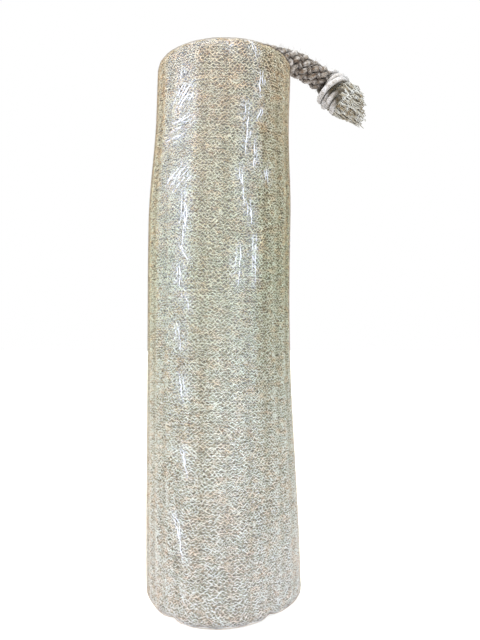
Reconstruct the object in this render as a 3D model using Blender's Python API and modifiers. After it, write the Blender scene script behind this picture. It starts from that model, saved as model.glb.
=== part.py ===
"""Natural loofah sponge in a clear shrink film, with a braided rope out of its top end.

The loofah stands on its cut end on the XY plane, its length along +Z and its front towards -Y.
Lengths are in metres.
"""

import math
from collections import namedtuple

import bmesh
import bpy
from mathutils import Matrix, Vector, noise

MM = 0.001

# Outline of the wrapped sponge
HEIGHT = 285 * MM
WAIST_RADIUS = 37.8 * MM
FOOT_FLARE = 3.4 * MM        # the foot is this much wider than the waist
FOOT_HEIGHT = 160 * MM
NECK_TAPER = 2.4 * MM        # the neck is this much narrower than the waist
NECK_START = 200 * MM
NECK_LENGTH = 55 * MM
CORNER = 6.5 * MM              # rounding of both rims
LOBES = 3
LOBE_DEPTH_TOP = 0.8 * MM
LOBE_DEPTH_FOOT = 2.4 * MM
LOBE_REACH = 200 * MM
LOBE_ANGLE = math.radians(-97)
BOW = -2.1 * MM              # the stem's gentle sideways bow
BOW_LENGTH = 250 * MM
BOW_SKEW = 1.3               # over 1, this moves the bow's peak up the stem
TOP_SLANT = 0.025            # rise of the top cut towards +X
SADDLE_DEPTH = 2.6 * MM      # the rope presses the rim down by this much
SADDLE_WIDTH = math.radians(26)
SADDLE_HEIGHT = 25 * MM

# Places the stem's axis so that the middle of the sponge's lobed outline is on the Z axis
STEM_X = -0.69 * MM
STEM_Y = 2.16 * MM

# Film
FILM_WALL = 0.35 * MM
FILM_MOUTH = 25.5 * MM
FILM_EDGE_WAVE = 0.9 * MM
GAP = 0.3 * MM               # clearance between touching pieces

# Fibre net
FACET_MARGIN = 0.2 * MM
NET_DEPTH = 1.5 * MM
NET_SHIFT = 0.22             # share of a mesh by which a crossing strays
RIBS = 10
RIB_DEPTH = 0.5 * MM

# Seed channels and the rope's bore
CHANNELS = 3
CHANNEL_ORBIT = 19.5 * MM
CHANNEL_RADIAL = 6.8 * MM
CHANNEL_TANGENT = 8.6 * MM
CHANNEL_ANGLE = math.radians(90)
CHANNEL_UNEVEN = 0.12
OVERRUN = 6 * MM             # how far a cutter runs past the face that it opens

# Rope
ROPE_RADIUS = 7.0 * MM
ROPE_HEADING = math.radians(30)
BORE_RADIUS = 7.6 * MM
ROPE_SPACING = 6.5 * MM
# Distance from the stem's axis along the heading, and height: up the core, over the rim, down to the knot
ROPE_ROUTE = [
    (0.0, 256.3), (0.0, 264.0), (1.0, 271.4), (3.8, 278.0), (8.2, 283.8), (14.0, 288.2), (20.8, 291.1),
    (28.0, 292.1), (35.5, 292.2), (42.5, 292.0), (49.5, 291.2), (58.0, 288.8), (66.4, 286.0),
]

# Knots and tassel
STRAND_RADIUS = 2.9 * MM
STRAND_MARGIN = 3.3 * MM     # from a knot's end face to the middle of its first turn
TUCK_DEPTH = 6.4 * MM        # how deep in the core a knot's strand starts and ends
TUCK_SHARE = 0.14            # share of the strand that each tucked end takes
CORE_BEVEL = 1.2 * MM
KNOT_RADIUS = 13.6 * MM
KNOT_LENGTH = 14 * MM
KNOT_TURNS = 2.6
KNOT_DROP = 4.5 * MM         # the knot hangs this much below the rope's line
KNOT_SAG = 0.8 * MM
KNOT_LEAN = 0.25             # the first turn leans away from the rope at its underside
STOPPER_RADIUS = 13.0 * MM
STOPPER_LENGTH = 18 * MM
STOPPER_TURNS = 2.4
POCKET_CLEARANCE = 0.5 * MM
TASSEL_LENGTH = 17 * MM
TASSEL_ROOT = 9.0 * MM
TASSEL_MIDDLE = 11.4 * MM
TASSEL_ROUNDNESS = 0.8       # half waves of its side from root to tip: 1 would close it in to its root
TASSEL_STRANDS = 14
TASSEL_GROOVE = 0.8 * MM
TASSEL_RAG = 1.3 * MM
TASSEL_LIFT = 2.0 * MM       # its tip springs up by this much from the knot's line
TASSEL_SHEAR = 0.36          # the lower strands reach further than the upper ones
TASSEL_HOLLOW = 1.6 * MM     # depth of the hollow among the cut ends

# Rows of the rolled grids: cut end, rim, side
Skin = namedtuple("Skin", "inset mouth around end_rows rim_rows side_rows")
FILM_SKIN = Skin(0.0, FILM_MOUTH, 44, 1, 4, 10)
NET_SKIN = Skin(FILM_WALL + GAP + FACET_MARGIN, 3 * MM, 44, 5, 3, 94)


def clear_scene():
    for item in list(bpy.data.objects):
        bpy.data.objects.remove(item, do_unlink=True)


def make_collection(name):
    collection = bpy.data.collections.new(name)
    bpy.context.scene.collection.children.link(collection)
    return collection


def make_material(name, colour, roughness, alpha=1.0, transmission=0.0):
    material = bpy.data.materials.new(name)
    material.use_nodes = True
    shader = material.node_tree.nodes["Principled BSDF"]
    shader.inputs["Base Color"].default_value = (*colour, 1.0)
    shader.inputs["Roughness"].default_value = roughness
    shader.inputs["Metallic"].default_value = 0.0
    shader.inputs["Alpha"].default_value = alpha
    shader.inputs["Transmission Weight"].default_value = transmission
    return material


def fade(value):
    """Smooth step from 0 to 1."""
    value = min(max(value, 0.0), 1.0)
    return value * value * (3 - 2 * value)


def outer_radius(angle, height):
    """Radius of the wrapped sponge, which is three-lobed and widest at its foot."""
    flare = FOOT_FLARE * fade(1 - height / FOOT_HEIGHT)
    taper = NECK_TAPER * fade((height - NECK_START) / NECK_LENGTH)
    lobe = LOBE_DEPTH_TOP + (LOBE_DEPTH_FOOT - LOBE_DEPTH_TOP) * fade(1 - height / LOBE_REACH)
    return WAIST_RADIUS + flare - taper + lobe * math.cos(LOBES * (angle - LOBE_ANGLE))


def place(radius, angle, height):
    """World point of a point given round the stem's own axis."""
    bow = BOW * math.sin(math.pi * max(height / BOW_LENGTH, 0.0) ** BOW_SKEW)
    x = bow + radius * math.cos(angle)
    slant = TOP_SLANT * fade((height - NECK_START) / (HEIGHT - NECK_START))
    turn = (angle - ROPE_HEADING + math.pi) % (2 * math.pi) - math.pi
    saddle = SADDLE_DEPTH * math.exp(-(turn / SADDLE_WIDTH) ** 2) * fade(radius / WAIST_RADIUS)
    saddle *= fade((height - HEIGHT + SADDLE_HEIGHT) / SADDLE_HEIGHT)
    return Vector((STEM_X + x, STEM_Y + radius * math.sin(angle), height + slant * x - saddle))


def skin_point(skin, row, angle, sink=0.0):
    """Point of a skin that runs over the top, down the side and under the foot, sunk below its face."""
    corner = CORNER - skin.inset
    # The foot keeps the film's wall and gap under it, as the top does above it
    low, high = min(skin.inset, FILM_WALL + GAP), HEIGHT - min(skin.inset, FILM_WALL + GAP)
    ends, rims, sides = skin.end_rows, skin.rim_rows, skin.side_rows
    last = 2 * (ends + rims) + sides
    from_top = row <= ends + rims + sides / 2
    near_end = row if from_top else last - row
    if near_end <= ends:
        lean = math.pi / 2
    elif near_end <= ends + rims:
        lean = math.pi / 2 * (1 - (near_end - ends) / rims)
    else:
        lean = 0.0
    if lean == 0:
        height = high - corner - (high - low - 2 * corner) * (row - ends - rims) / sides
    elif from_top:
        height = high - corner + corner * math.sin(lean)
    else:
        height = low + corner - corner * math.sin(lean)
    wall = outer_radius(angle, height) - skin.inset
    radius = wall - corner + corner * math.cos(lean)
    if near_end < ends:
        radius = skin.mouth + (radius - skin.mouth) * near_end / ends
    up = math.sin(lean) if from_top else -math.sin(lean)
    return place(radius - sink * math.cos(lean), angle, height - sink * up)


def rolled_grid(around, along, point, ridged=False, capped=True):
    """Grid rolled into a tube, each vertex put where point(column, row) says.

    A ridged grid is split along the diagonals that join its even vertices, so raised ones make a net.
    """
    shape = bmesh.new()
    bmesh.ops.create_grid(shape, x_segments=around, y_segments=along, size=0.5)
    cells = {vertex: (round((vertex.co.x + 0.5) * around), round((vertex.co.y + 0.5) * along))
             for vertex in shape.verts}
    if ridged:
        raised = [vertex for vertex, (column, row) in cells.items() if (column + row) % 2 == 0]
        bmesh.ops.connect_verts(shape, verts=raised)
    for vertex, (column, row) in cells.items():
        vertex.co = point(column % around, row)
    bmesh.ops.remove_doubles(shape, verts=shape.verts, dist=0.001 * MM)
    if capped:
        bmesh.ops.holes_fill(shape, edges=[edge for edge in shape.edges if edge.is_boundary], sides=around)
    bmesh.ops.recalc_face_normals(shape, faces=shape.faces)
    return shape


def add_object(name, shape, collection, material=None):
    mesh = bpy.data.meshes.new(name)
    shape.to_mesh(mesh)
    shape.free()
    item = bpy.data.objects.new(name, mesh)
    collection.objects.link(item)
    if material:
        mesh.materials.append(material)
    return item


def add_cutter(name, shape):
    cutter = add_object(name, shape, cutters)
    cutter.hide_render = True
    cutter.display_type = "WIRE"
    return cutter


def add_boolean(item, other, operation="DIFFERENCE"):
    modifier = item.modifiers.new(f"{operation.lower()} {other.name}", "BOOLEAN")
    modifier.operation = operation
    modifier.object = other
    modifier.solver = "EXACT"
    modifier.use_self = operation == "UNION"
    return modifier


def smooth_route(points, spacing):
    """Even points along a smooth curve through the given ones."""
    ends = [points[0] * 2 - points[1]] + points + [points[-1] * 2 - points[-2]]
    fine = []
    steps = 24
    for before, start, stop, after in zip(ends, ends[1:], ends[2:], ends[3:]):
        for step in range(steps):
            t = step / steps
            fine.append(0.5 * (2 * start + (stop - before) * t
                               + (2 * before - 5 * start + 4 * stop - after) * t ** 2
                               + (3 * start - before - 3 * stop + after) * t ** 3))
    fine.append(points[-1])
    lengths = [0.0]
    for start, stop in zip(fine, fine[1:]):
        lengths.append(lengths[-1] + (stop - start).length)
    count = round(lengths[-1] / spacing)
    even, index = [], 0
    for step in range(count + 1):
        target = lengths[-1] * step / count
        while index < len(fine) - 2 and lengths[index + 1] < target:
            index += 1
        share = (target - lengths[index]) / (lengths[index + 1] - lengths[index])
        even.append(fine[index].lerp(fine[index + 1], share))
    return even


def add_tube(name, points, radius, sides, collection, material=None):
    """Round tube along the points, with flat ends."""
    curve = bpy.data.curves.new(name, "CURVE")
    curve.dimensions = "3D"
    curve.bevel_depth = radius
    curve.bevel_resolution = sides // 2 - 2
    curve.use_fill_caps = True
    spline = curve.splines.new("POLY")
    spline.points.add(len(points) - 1)
    for target, point in zip(spline.points, points):
        target.co = (*point, 1.0)
    item = bpy.data.objects.new(name, curve)
    collection.objects.link(item)
    if material:
        curve.materials.append(material)
    return item


def tube_to_mesh(tube, collection):
    """Same tube as a closed mesh, which a Boolean can read."""
    bpy.context.view_layer.update()
    evaluated = tube.evaluated_get(bpy.context.evaluated_depsgraph_get())
    mesh = bpy.data.meshes.new_from_object(evaluated)
    shape = bmesh.new()
    shape.from_mesh(mesh)
    bmesh.ops.remove_doubles(shape, verts=shape.verts, dist=0.001 * MM)
    bmesh.ops.recalc_face_normals(shape, faces=shape.faces)
    shape.to_mesh(mesh)
    shape.free()
    item = bpy.data.objects.new(tube.name + "_mesh", mesh)
    item.matrix_world = tube.matrix_world
    collection.objects.link(item)
    bpy.data.objects.remove(tube, do_unlink=True)
    return item


def route_point(along, height):
    """World point on the rope's upright plane."""
    return Vector((STEM_X + along * math.cos(ROPE_HEADING), STEM_Y + along * math.sin(ROPE_HEADING), height))


def route_frame(origin, axis):
    """Matrix whose Z axis is the given one, standing at the origin point."""
    return Matrix.Translation(origin) @ axis.to_track_quat("Z", "Y").to_matrix().to_4x4()


def build_loofah():
    """Dried skeleton of the fruit, one grown piece: raised fibre net, ribs and seed channels."""
    material = make_material("dried loofah fibre", (0.56, 0.50, 0.36), 0.85)
    rows = 2 * (NET_SKIN.end_rows + NET_SKIN.rim_rows) + NET_SKIN.side_rows

    def point(column, row):
        raised = (column + row) % 2 == 0
        seed = Vector((column * 0.61, row * 0.37, 3.7))
        stray = NET_SHIFT * noise.noise(seed)
        lift = NET_SHIFT * noise.noise(seed + Vector((9.1, 2.3, 0.0)))
        angle = 2 * math.pi * (column + stray) / NET_SKIN.around
        groove = RIB_DEPTH * (0.5 - 0.5 * math.cos(RIBS * angle))
        sink = groove if raised else groove + NET_DEPTH * (0.85 + 0.3 * noise.noise(seed * 2.1))
        ends = NET_SKIN.end_rows
        sink *= min(min(row, rows - row) / ends, 1.0)
        on_side = NET_SKIN.end_rows + NET_SKIN.rim_rows < row < rows - NET_SKIN.end_rows - NET_SKIN.rim_rows
        return skin_point(NET_SKIN, row + (lift if on_side else 0.0), angle, sink)

    loofah = add_object("loofah", rolled_grid(NET_SKIN.around, rows, point, ridged=True), parts, material)
    for index in range(CHANNELS):
        add_boolean(loofah, build_channel(index))
    bore_start = route[0] - Vector((0, 0, OVERRUN))
    bore = tube_to_mesh(add_tube("rope_bore", [bore_start] + route, BORE_RADIUS, 12, cutters), cutters)
    bore.hide_render = True
    bore.display_type = "WIRE"
    add_boolean(loofah, bore)
    pocket = bmesh.new()
    pocket_radius = STOPPER_RADIUS + POCKET_CLEARANCE
    bmesh.ops.create_cone(pocket, cap_ends=True, segments=24, radius1=pocket_radius, radius2=pocket_radius,
                          depth=STOPPER_LENGTH + 2 * GAP,
                          matrix=Matrix.Translation(stopper_centre + Vector((0, 0, GAP / 2))))
    add_boolean(loofah, add_cutter("stopper_pocket", pocket))
    return loofah


def build_channel(index):
    """Seed channel, an uneven tube that runs from cut end to cut end."""
    bearing = CHANNEL_ANGLE + 2 * math.pi * index / CHANNELS
    around, along = 12, 12
    radial = Vector((math.cos(bearing), math.sin(bearing), 0))
    tangent = Vector((-radial.y, radial.x, 0))

    def point(column, row):
        angle = 2 * math.pi * column / around
        height = -OVERRUN + (HEIGHT + 2 * OVERRUN) * row / along
        uneven = 1 + CHANNEL_UNEVEN * noise.noise(Vector((column * 0.8, row * 0.7, 5.3 * index)))
        axis = place(CHANNEL_ORBIT, bearing, height)
        return (axis + radial * CHANNEL_RADIAL * uneven * math.cos(angle)
                + tangent * CHANNEL_TANGENT * uneven * math.sin(angle))

    return add_cutter(f"seed_channel_{index + 1}", rolled_grid(around, along, point))


def build_film():
    """Clear shrink film, tight on the side and folded a little way over both cut ends."""
    material = make_material("clear shrink film", (0.93, 0.94, 0.95), 0.08, alpha=0.3, transmission=1.0)
    rows = 2 * (FILM_SKIN.end_rows + FILM_SKIN.rim_rows) + FILM_SKIN.side_rows

    def point(column, row):
        angle = 2 * math.pi * column / FILM_SKIN.around
        edge = FILM_EDGE_WAVE * noise.noise(Vector((math.cos(angle) * 2, math.sin(angle) * 2, row)))
        skin = FILM_SKIN._replace(mouth=FILM_MOUTH + edge)
        return skin_point(skin, row, angle)

    grid = rolled_grid(FILM_SKIN.around, rows, point, capped=False)
    film = add_object("film_sleeve", grid, parts, material)
    wall = film.modifiers.new("film wall", "SOLIDIFY")
    wall.thickness = FILM_WALL
    wall.offset = -1.0
    wall.use_even_offset = True
    return film


def build_knot(name, centre, axis, radius, length, turns, sag, material):
    """Knot: a core bound by turns of a smooth strand, which hang a little low, with their ends tucked in."""
    frame = route_frame(centre, axis)
    core = bmesh.new()
    core_radius = radius - 1.1 * STRAND_RADIUS
    sunk_radius = core_radius - TUCK_DEPTH
    bmesh.ops.create_cone(core, cap_ends=True, segments=20, radius1=core_radius, radius2=core_radius,
                          depth=length)
    rims = [edge for edge in core.edges if edge.calc_face_angle() > math.radians(60)]
    bmesh.ops.bevel(core, geom=rims, offset=CORE_BEVEL, segments=2, profile=0.5, affect="EDGES")
    core.transform(frame)
    knot = add_object(name, core, parts, material)
    steps_a_turn = 16
    steps = round(steps_a_turn * turns)
    strand = []
    for step in range(steps + 1):
        share = step / steps
        tuck = fade(min(share, 1 - share) / TUCK_SHARE)
        reach = sunk_radius + (radius - STRAND_RADIUS - sunk_radius) * tuck
        angle = 2 * math.pi * turns * share
        rise = (share - 0.5) * (length - 2 * STRAND_MARGIN)
        across = frame.to_3x3() @ Vector((reach * math.cos(angle), reach * math.sin(angle), 0))
        rise += KNOT_LEAN * max(-across.z, 0.0) * (1 - share)
        strand.append(centre + across + axis * rise - Vector((0, 0, sag * tuck)))
    wrap = tube_to_mesh(add_tube(name + "_strand", strand, STRAND_RADIUS, 8, cutters), cutters)
    wrap.hide_render = True
    wrap.display_type = "WIRE"
    add_boolean(knot, wrap, "UNION")
    return knot


def build_tassel(start, axis, material):
    """Frayed end of the rope: a flared bundle of grooved strands with a ragged tip."""
    frame = route_frame(start, axis)
    around, side_rows = 2 * TASSEL_STRANDS, 6

    def point(column, row):
        angle = 2 * math.pi * column / around
        share = min(row / side_rows, 1.0)
        radius = TASSEL_ROOT + (TASSEL_MIDDLE - TASSEL_ROOT) * math.sin(TASSEL_ROUNDNESS * math.pi * share)
        radius -= TASSEL_GROOVE * (column % 2) * fade(share * 3)
        rag = TASSEL_RAG * noise.noise(Vector((column * 1.7, 4.4, 0.0))) * fade(share * 2 - 1)
        height = TASSEL_LENGTH * share + rag
        if row > side_rows:
            radius /= 2
            height -= TASSEL_HOLLOW
        across = frame.to_3x3() @ Vector((radius * math.cos(angle), radius * math.sin(angle), 0))
        height -= TASSEL_SHEAR * share * across.z
        return start + across + axis * height + Vector((0, 0, TASSEL_LIFT * share ** 2))

    return add_object("rope_tassel", rolled_grid(around, side_rows + 1, point), parts, material)


clear_scene()
parts = make_collection("natural loofah sponge")
cutters = make_collection("cutters")

route = smooth_route([route_point(along * MM, height * MM) for along, height in ROPE_ROUTE], ROPE_SPACING)
stopper_centre = route[0] - Vector((0, 0, GAP + STOPPER_LENGTH / 2))
knot_axis = (route[-1] - route[-2]).normalized()
knot_down = (knot_axis * knot_axis.z - Vector((0, 0, 1))).normalized()
knot_centre = route[-1] + knot_axis * (GAP + KNOT_LENGTH / 2) + knot_down * KNOT_DROP
tassel_start = knot_centre + knot_axis * (KNOT_LENGTH / 2 + GAP)

build_loofah()
build_film()
braid = make_material("braided cotton", (0.42, 0.36, 0.28), 0.9)
add_tube("rope", route, ROPE_RADIUS, 12, parts, braid)
cotton = make_material("cotton bundle", (0.62, 0.56, 0.52), 0.9)
build_knot("rope_knot", knot_centre, knot_axis, KNOT_RADIUS, KNOT_LENGTH, KNOT_TURNS, KNOT_SAG, cotton)
build_tassel(tassel_start, knot_axis, make_material("frayed cotton", (0.50, 0.46, 0.38), 0.95))
hidden = make_material("cotton stopper knot", (0.50, 0.45, 0.38), 0.9)
build_knot("rope_stopper", stopper_centre, Vector((0, 0, 1)), STOPPER_RADIUS, STOPPER_LENGTH, STOPPER_TURNS,
           0.0, hidden)
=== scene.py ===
"""Natural loofah sponge in a clear shrink film, with a braided cotton rope out of its top end.

Every length is in metres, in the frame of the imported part.
"""

import math
import random
from collections import namedtuple
from functools import partial

import bmesh
import bpy
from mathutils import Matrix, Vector, noise
from mathutils.kdtree import KDTree


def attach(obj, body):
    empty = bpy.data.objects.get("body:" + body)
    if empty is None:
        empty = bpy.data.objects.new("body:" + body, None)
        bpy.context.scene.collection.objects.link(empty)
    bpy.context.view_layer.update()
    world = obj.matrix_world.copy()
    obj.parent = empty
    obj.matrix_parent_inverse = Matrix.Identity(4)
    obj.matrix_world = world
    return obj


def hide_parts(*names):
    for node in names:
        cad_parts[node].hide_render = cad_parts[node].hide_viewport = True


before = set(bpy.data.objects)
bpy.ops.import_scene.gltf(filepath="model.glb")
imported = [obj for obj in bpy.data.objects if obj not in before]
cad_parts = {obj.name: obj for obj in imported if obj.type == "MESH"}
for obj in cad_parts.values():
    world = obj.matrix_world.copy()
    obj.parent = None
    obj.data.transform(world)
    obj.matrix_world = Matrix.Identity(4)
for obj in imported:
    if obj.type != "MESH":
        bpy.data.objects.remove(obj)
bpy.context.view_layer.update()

noise.seed_set(1)  # without a seed, vector noise differs from run to run

Layer = namedtuple("Layer", "inset fibre pitch step waves height")

MM = 0.001
# The lift also sets painted shade: yarn that lies low, in crevices and grooves, is painted dark
LIFT = "lift"  # attribute with how far a yarn stands out of the rope
# Near the creases the film is whitened: partly as crumpled film, partly as a painted sheen
CRUMPLE_SHEEN = "crumple_sheen"  # attribute with how crumpled the film is

# Outline of the wrapped sponge, as in the part but for tighter rims and two dents in the foot's rim
HEIGHT = 285 * MM
WAIST_RADIUS = 37.8 * MM
FOOT_FLARE = 3.4 * MM
FOOT_HEIGHT = 160 * MM
NECK_TAPER = 2.4 * MM
NECK_START = 200 * MM
NECK_LENGTH = 55 * MM
TOP_CORNER = 5.6 * MM
FOOT_CORNER = 4.5 * MM
RIM_DENTS = (-37, 42)  # degrees from the front where the foot's rim is drawn in
DENT_DEPTH = 1.4 * MM
DENT_WIDTH = math.radians(6)
DENT_HEIGHT = 9 * MM
DENT_RISE = 0.8  # the rim also rises there, by this share of the depth
LOBES = 3
LOBE_DEPTH_TOP = 0.8 * MM
LOBE_DEPTH_FOOT = 2.4 * MM
LOBE_REACH = 200 * MM
LOBE_ANGLE = math.radians(-97)
BOW = -2.1 * MM
BOW_LENGTH = 250 * MM
BOW_SKEW = 1.3
TOP_SLANT = 0.025
SADDLE_DEPTH = 2.6 * MM
SADDLE_WIDTH = math.radians(26)
SADDLE_HEIGHT = 25 * MM
STEM_X = -0.69 * MM
STEM_Y = 2.16 * MM
FRONT = math.radians(-90)  # the side that faces the camera

# Camera
CAMERA_PLACE = Vector((8.87 * MM, -372.84 * MM, 147.3 * MM))
SENSOR_WIDTH = 36.0
LENS = 39.71
NEAR_CLIP = 10 * MM

# Fibre net just under the film
RIBS = 21
RIB_DEPTH = 0.5 * MM
RIB_ANGLE = FRONT + math.radians(6)  # where a valley between two ribs runs
# Each layer: inset under the film, fibre radius, pitch, step along a fibre, waves in a turn, wave height
OUTER_LAYER = Layer(0.25 * MM, 0.27 * MM, 1.25 * MM, 0.6 * MM, 104, 0.56 * MM)
INNER_LAYER = Layer(0.7 * MM, 0.38 * MM, 2.4 * MM, 2.2 * MM, 37, 0.7 * MM)
# Travels in mm where the net is split, so that no piece has too many faces
OUTER_BANDS = (-8, 67, 142, 217, 293)
INNER_BANDS = (-8, 293)
NET_DRIFT = 2.0 * MM  # how far whole rows wander up and down
NET_STRAY = 0.5 * MM  # how far one fibre strays from its row
NET_DIP = 0.2 * MM  # depth of its dips
LINKS = 2600
LINK_OVERRUN = 6 * MM
LINK_RISES = (1.3 * MM, 1.3 * MM, 2.6 * MM)
UPRIGHTS = 52
UPRIGHT_RADIUS = 0.42 * MM
UPRIGHT_DEPTH = 1.2 * MM
UPRIGHT_DIP = 0.25 * MM
UPRIGHT_OVERRUN = 7 * MM  # how far they run on over the rims

# Body behind the net
HEART_INSET = 1.5 * MM
HEART_SKIN = 2.5 * MM  # only what lies this near the outside is drawn in
HEART_END_INSET = 1.6 * MM
HEART_ROUGHNESS = 0.3 * MM

# Fibres of the cut ends and of the seed channels
MAT_FIBRES = 900
MAT_DEPTH = 1.3 * MM
MAT_STEP = 1.7 * MM
TOP_MAT_REACH = 28 * MM
FOOT_MAT_REACH = 33 * MM
CHANNELS = 3
CHANNEL_ORBIT = 19.5 * MM
CHANNEL_RADIAL = 6.8 * MM
CHANNEL_TANGENT = 8.6 * MM
CHANNEL_ANGLE = math.radians(90)
CHANNEL_FIBRE = 0.35 * MM
CHANNEL_RINGS = 16  # in each channel, half of them at either end
CHANNEL_STEPS = 28
BORE_RADIUS = 7.6 * MM

# Rope
ROPE_RADIUS = 7.0 * MM
ROPE_HEADING = math.radians(30)
ROPE_ROUTE = [
    (0.0, 256.3), (0.0, 264.0), (1.0, 271.4), (3.8, 278.0), (8.2, 283.8), (14.0, 288.2), (20.8, 291.1),
    (28.0, 292.1), (35.5, 292.2), (42.5, 292.0), (49.5, 291.2), (58.0, 288.8), (66.4, 286.0),
]
ROPE_STEP = 0.9 * MM
ROPE_EXIT = (6.5 * MM, 6.3 * MM, 284 * MM)
ROPE_CORE = 4.3 * MM
ROPE_LIFT = (5.5 * MM, 6.9 * MM)  # distances from its line: deep and high
GAP = 0.3 * MM
BRAID_STRANDS = 8  # strands that wind each way
BRAID_LAY = 54 * MM
BRAID_UNEVEN = 0.2 * MM  # one way's strands lie further out, the other's further in
BRAID_REACH = 5.4 * MM
BRAID_WEAVE = 0.85 * MM
YARN_RADIUS = 0.78 * MM  # three yarns lie side by side in a strand
YARN_SPACING = 0.95 * MM
YARN_SINK = 0.45 * MM  # the outer two lie this much lower
FUZZ = 420
FUZZ_RADIUS = 0.07 * MM
FUZZ_START = 14 * MM  # from the rope's exit, on its hidden side
FUZZ_ROOT = 0.9 * MM  # how deep in the rope a hair starts

# Knots
STRAND_RADIUS = 3.4 * MM
STRAND_MARGIN = 3.6 * MM
TUCK_DEPTH = 6.4 * MM
TUCK_SHARE = 0.14
TURN_STEPS = 44
KNOT_PLACE = Vector((6.2, 0.4, -6.7)) * MM  # from the rope's end
KNOT_WAY = Vector((0.74, -0.36, -0.57))
KNOT_RADIUS = 11.5 * MM
KNOT_LENGTH = 20.5 * MM
KNOT_TURNS = 2.2
KNOT_START = math.radians(200)
KNOT_LIFT = (3.3 * MM, 1.1 * MM)  # distances under a knot's radius: deep and high
STOPPER_RADIUS = 13.0 * MM
STOPPER_LENGTH = 18 * MM
STOPPER_TURNS = 2.4
PLIES = 3
PLY_RADIUS = 1.62 * MM
PLY_REACH = 1.95 * MM
PLY_LAY = 60 * MM
# A knot's heart: shares of the knot's length, and of the heart's radius there
HEART_SIZES = ((0, 0.4), (0.06, 0.75), (0.2, 0.95), (0.5, 1), (0.8, 0.95), (0.94, 0.75), (1, 0.4))

# Tassel
TASSEL_PLACE = Vector((4.6, 0.4, -8.4)) * MM  # from the rope's end
TASSEL_WAY = Vector((0.93, 0.2, -0.33))
TASSEL_LENGTH = 17.0 * MM
TASSEL_ROOT = 7.2 * MM
TASSEL_MIDDLE = 10.2 * MM
TASSEL_SHEAR = 0.6  # slant of its cut end, with the underside longer
TASSEL_LIFT = (6.4 * MM, 9.4 * MM)
# Each ring of yarns: its share of the radius, number of yarns, and share of the length where it starts
TASSEL_RINGS = ((0.94, 34, 0.0), (0.84, 32, 0.05), (0.62, 20, 0.5), (0.42, 14, 0.6), (0.2, 7, 0.6))
YARN_THREADS = 3
YARN_THREAD = 0.39 * MM
YARN_STEPS = 11
TASSEL_CORE_SINK = 1.9 * MM  # how far under the outer yarns the core lies

# Film
FILM_COLUMNS = 110
FILM_ROWS = 130
FILM_WALL = 0.2 * MM
FILM_INSET = 0.02 * MM
FILM_RING = 5.2 * MM  # how far it runs in over a cut end
FILM_EDGE_WAVE = 0.9 * MM
GATHER_DEPTH = 0.3 * MM
GATHER_REACH = 14 * MM  # how far the gathers run down the side
RIPPLE_DEPTH = 0.07 * MM
RIB_SHARE = 0.55  # how much of the ribs it follows

# Creases of the film at the front, whose white is partly a painted glint: angle from the front and height
# where each starts and ends, and its bow
DEGREE = math.radians(1)
FRONT_CREASES = [
    (-34, 271, -34, 265, 0.5), (-30, 264, -44, 253, 1.5), (-21, 264, -40, 250, -2),
    (-30, 256, -24, 254, 3.5), (-26, 253, -23, 258, 2.5), (-21, 247, -43, 245, -2.5),
    (-25, 248, -40, 244, -1), (-29, 242, -45, 240, 0.5), (-26, 238, -50, 236, 0.8),
    (-28, 223, -45, 213, 1), (-30, 221, -44, 215, 0), (-25, 212, -26, 182, 1.5), (-29, 186, -19, 175, -1),
    (-28, 176, -28, 161, 0.8), (-24, 162, -19, 152, 0.5), (-27, 87, -20, 71, 0.6), (-34, 56, -24, 32, 1),
    (21, 284, 28, 275, 0.6), (33, 270, 34, 255, -0.8), (37, 266, 38, 262, 0.3), (35, 252, 30, 244, 0.8),
    (23, 254, 20, 227, 0.8), (25, 239, 22, 233, 0.3), (18, 224, 21, 202, -0.8), (18, 184, 16, 163, 0.5),
    (31, 190, 31, 165, -0.7), (40, 222, 42, 215, 0.3), (4, 281, 3, 277, 0.3), (-24, 222, -41, 211, 0.6),
    (-22, 218, -37, 209, 0.2), (-25, 259, -36, 250, -1), (-23, 204, -24, 190, 0.8),
    (-30, 146, -26, 132, 0.6), (-27, 122, -23, 108, -0.6), (29, 236, 27, 218, 0.6),
    (24, 206, 27, 192, 0.5),
]
BACK_BANDS = (112, 148, 196, 238)  # degrees from the front
BACK_CREASES = 56
CREASE_TOP = 281  # height in mm where the back's creases end
CREASE_RADIUS = 0.38 * MM
CREASE_INSET = 0.05 * MM
CRUMPLE_SHEEN_REACH = 4.5 * MM

# Each soft box: its name, place, target, width, height, power and colour
LIGHTS = (
    ("left soft box", (-0.85, -0.24, 0.84), (0, 0, 0.25), 1.3, 0.8, 2.3, "#FCFBFA"),
    ("right soft box", (0.5, -0.72, 0.4), (0, 0, 0.15), 1.2, 0.9, 0.25, "#F0FFF2"),
    ("overhead soft box", (-0.15, -0.5, 1.1), (0, 0, 0.15), 0.7, 0.7, 5.0, "#FCFCFF"),
    ("low right fill", (0.52, -0.6, 0.02), (0, 0, 0.03), 0.9, 0.3, 2.5, "#F4FAFF"),
)
# The room is brightest this way, at the front left
ROOM_WAY = (-0.5, -0.6, 0.12)
ROOM_MIDDLE = 0.35
ROOM_POWER = 2.5
ROOM_LEAST = 0.14
ROOM_TONES = ((0.0, "#FCF9F0"), (0.5, "#F8FFFF"), (1.0, "#ECFFF8"))  # from left to right
# Pale windows that the film mirrors: place round the room, where 0.5 is the front, and colour
WINDOWS = (
    (0.165, "#000000"), (0.18, "#8FC9FF"), (0.374, "#8FC9FF"), (0.384, "#000000"),
    (0.572, "#000000"), (0.59, "#5D85AA"), (0.7, "#5D85AA"), (0.715, "#000000"),
)
TABLE_SIZE = 3.0
TABLE_REACH = 0.4  # its light changes this far to either side
TABLE_POWER = 2.3
TABLE_GLOW = ((0.11, "#000000"), (0.5, "#A8A8A8"), (0.62, "#FFFFFF"), (0.72, "#AAAAAA"), (0.95, "#6A6A6A"))

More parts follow.
